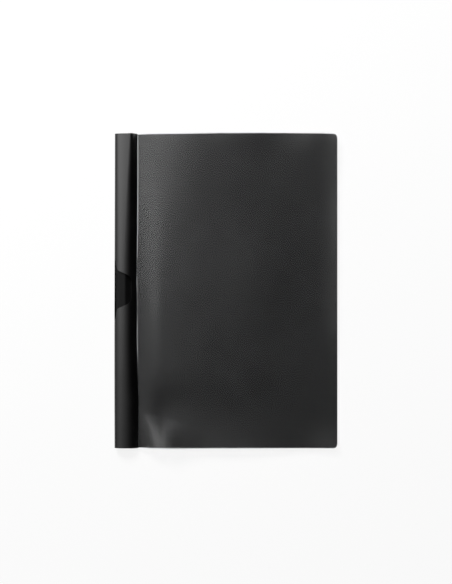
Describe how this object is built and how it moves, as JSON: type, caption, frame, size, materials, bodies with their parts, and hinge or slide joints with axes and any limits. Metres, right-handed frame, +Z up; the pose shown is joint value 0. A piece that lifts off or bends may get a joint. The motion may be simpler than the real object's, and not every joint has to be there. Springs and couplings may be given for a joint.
{
  "type": "clip folder",
  "caption": "A4 clip folder: clear film front cover and folded plastic back cover joined at a humped spine strip with a thumb notch over a sprung steel clip.",
  "frame": {"origin": "centre of the folder's outline on the surface that it lies on", "axes": "+Z up through the front cover, +Y up the page, +X away from the spine"},
  "size_m": [0.22, 0.31, 0.008],
  "materials": {
    "cover_sheet": "satin black plastic sheet",
    "front_film": "clear plastic film with a soft gloss, dark over the black back cover",
    "clip_steel": "matte black paint on spring steel",
    "hinge_film": "matte black film"
  },
  "bodies": {
    "back": {"back_cover": "cover_sheet", "clip_hinge_strip": "hinge_film"},
    "front_leaf": {"spine_strip": "cover_sheet", "front_cover": "front_film"},
    "clip": {"steel_clip": "clip_steel"}
  },
  "joints": [
    {"name": "front_cover_hinge", "type": "hinge", "parent": "back", "child": "front_leaf", "pos_m": [-0.11, 0, 0.004], "axis": [0, -1, 0], "range_deg": [0, 178]},
    {"name": "clip_swing", "type": "hinge", "parent": "back", "child": "clip", "pos_m": [-0.11, 0, 0.004], "axis": [0, -1, 0], "range_deg": [0, 89]}
  ],
  "couplings": [
    {"joint": "clip_swing", "follows": "front_cover_hinge", "ratio": 0.5}
  ]
}
